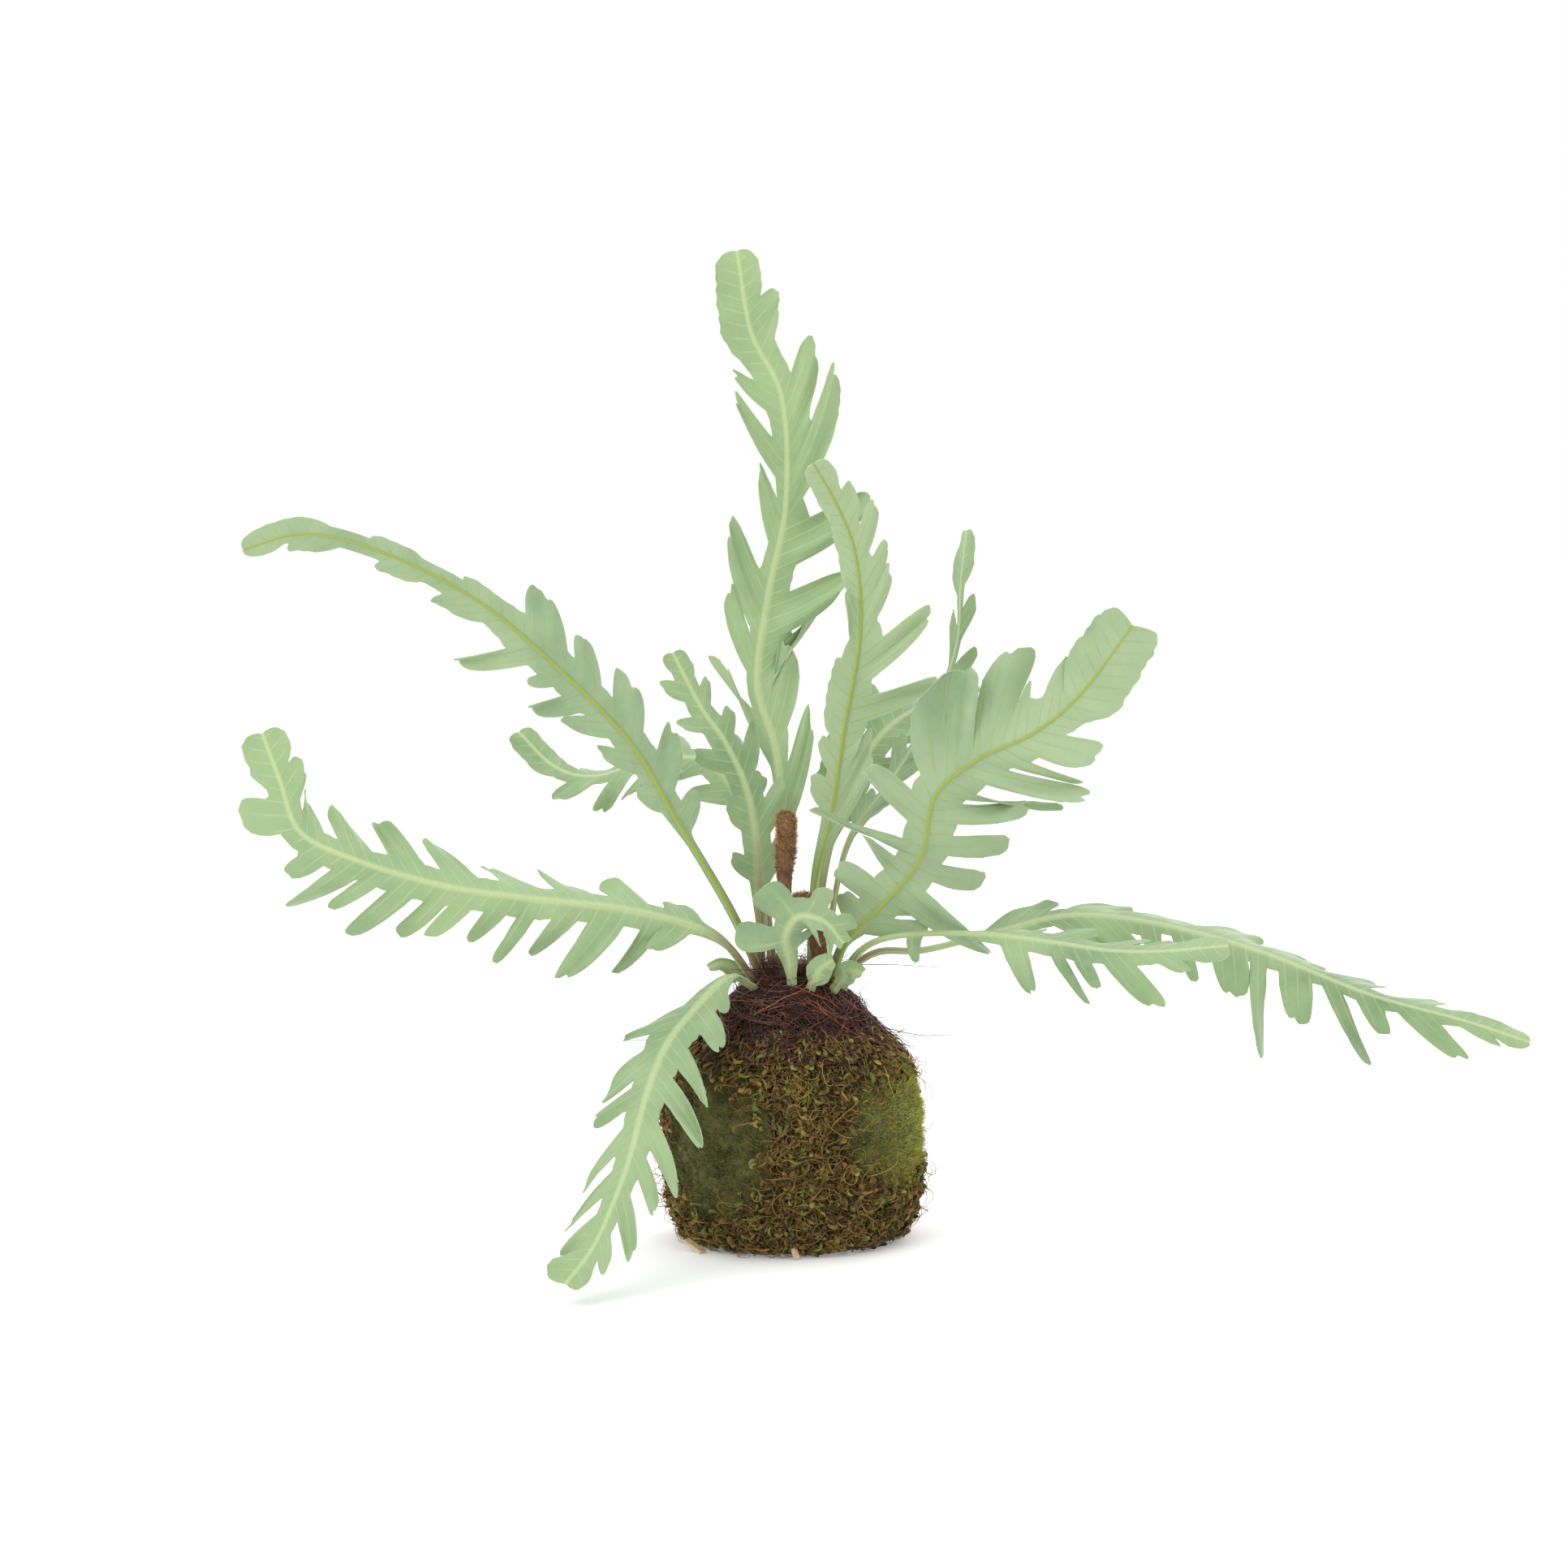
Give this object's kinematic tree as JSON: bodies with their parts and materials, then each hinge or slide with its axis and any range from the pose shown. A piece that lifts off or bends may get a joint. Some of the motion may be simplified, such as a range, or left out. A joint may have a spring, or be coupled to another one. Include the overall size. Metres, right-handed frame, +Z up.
{
  "type": "fern in moss ball",
  "caption": "Free-standing blue-green fern with lobed arching fronds, growing from a round root ball wrapped in moss, with no pot.",
  "frame": {"origin": "centre of the moss ball's flat underside, where it rests on the floor", "axes": "+Z up through the crown of the plant, +X along the longest spread of the fronds, -Y to the front"},
  "size_m": [0.6139, 0.2985, 0.4787],
  "materials": {
    "blade": "waxy grey-green leaf",
    "pale_blade": "matt pale leaf underside",
    "fuzz": "golden brown scales and hairs",
    "root": "dark red-brown root fibre and soil",
    "moss": "tangled sheet moss, brown and olive",
    "bright_moss": "velvety yellow-green cushion moss",
    "dark_moss": "velvety dark olive cushion moss",
    "wood": "raw split bark"
  },
  "bodies": {
    "root": {"moss_wrap": "moss", "moss_cushion_left": "dark_moss", "moss_cushion_right": "bright_moss", "moss_cushion_back": "bright_moss", "root_ball": "root", "fibre_collar": "root", "rhizome": "fuzz", "crozier_tall": "fuzz", "crozier_short": "fuzz", "frond_tall": "blade", "frond_pale": "pale_blade", "frond_edge_on": "blade", "frond_broad": "pale_blade", "frond_back_right": "blade", "frond_small": "blade", "frond_right_near": "blade", "frond_right_far": "blade", "frond_left_low": "blade", "frond_left_high": "pale_blade", "frond_back_left": "blade", "frond_left_mid": "blade", "frond_droop": "blade", "young_leaf_front": "blade", "young_leaf_right": "blade", "young_leaf_left": "blade", "bark_chip_left": "wood", "bark_chip_front": "wood"}
  },
  "joints": []
}
